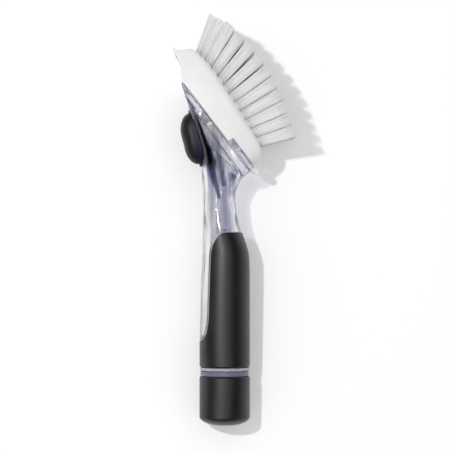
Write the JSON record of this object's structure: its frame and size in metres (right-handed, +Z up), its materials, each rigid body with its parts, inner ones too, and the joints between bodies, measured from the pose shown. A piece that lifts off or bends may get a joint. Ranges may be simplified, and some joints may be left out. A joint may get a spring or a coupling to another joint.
{
  "type": "scrub brush",
  "caption": "Soap-dispensing dish brush: clear reservoir handle with soft grip, screw cap and push button, and a sloping white head with fanned bristles and a scraper tip.",
  "frame": {"origin": "centre of the box on the plane that the brush lies on", "axes": "+Y along the handle from cap to head, +X to the bristle side, +Z up, with the brush lying on its side"},
  "size_m": [0.0816, 0.2672, 0.0589],
  "materials": {
    "clear": "clear, violet-tinted, polished",
    "grip": "matte soft-touch",
    "frame": "satin",
    "button": "satin silicone",
    "gasket": "translucent grey-violet",
    "silicone": "translucent",
    "white": "satin",
    "nylon": "satin filaments"
  },
  "bodies": {
    "handle": {"handle_body": "clear", "grip_sleeve": "grip", "button_frame": "frame", "soap_valve": "silicone", "valve_retainer": "white"},
    "button": {"button": "button"},
    "gasket": {"cap_gasket": "gasket"},
    "cap": {"cap_core": "frame", "cap_skin": "grip", "cap_liner": "silicone"},
    "head": {"brush_head": "white", "spout_washer": "silicone", "bristle_block_1": "nylon", "bristle_block_2": "nylon", "bristle_block_3": "nylon", "bristle_block_4": "nylon", "bristle_block_5": "nylon", "bristle_block_6": "nylon", "bristle_block_7": "nylon"},
    "tab": {"release_tab": "white"}
  },
  "joints": [
    {"name": "button_press", "type": "slide", "parent": "handle", "child": "button", "axis": [0.9768, 0.2023, 0.0696], "range_m": [0, 0.003], "stiffness_N_per_m": 2500},
    {"name": "cap_advance", "type": "slide", "parent": "handle", "child": "gasket", "axis": [0.0015, -0.9987, -0.0504], "range_m": [0, 0.018]},
    {"name": "cap_turn", "type": "hinge", "parent": "gasket", "child": "cap", "pos_m": [-0.00604, -0.13337, 0.01634], "axis": [0.0015, -0.9987, -0.0504], "range_deg": [0, 1080]},
    {"name": "head_slide", "type": "slide", "parent": "handle", "child": "head", "axis": [-0.6047, 0.7964, 0.0035], "range_m": [0, 0.082]},
    {"name": "tab_lift", "type": "hinge", "parent": "head", "child": "tab", "pos_m": [0.00201, 0.04396, 0.02579], "axis": [-0.0606, -0.0504, 0.9969], "range_deg": [0, 7], "stiffness_Nm_per_rad": 1.2}
  ],
  "couplings": [
    {"joint": "cap_turn", "follows": "cap_advance", "rad_per_m": 1047.2}
  ]
}
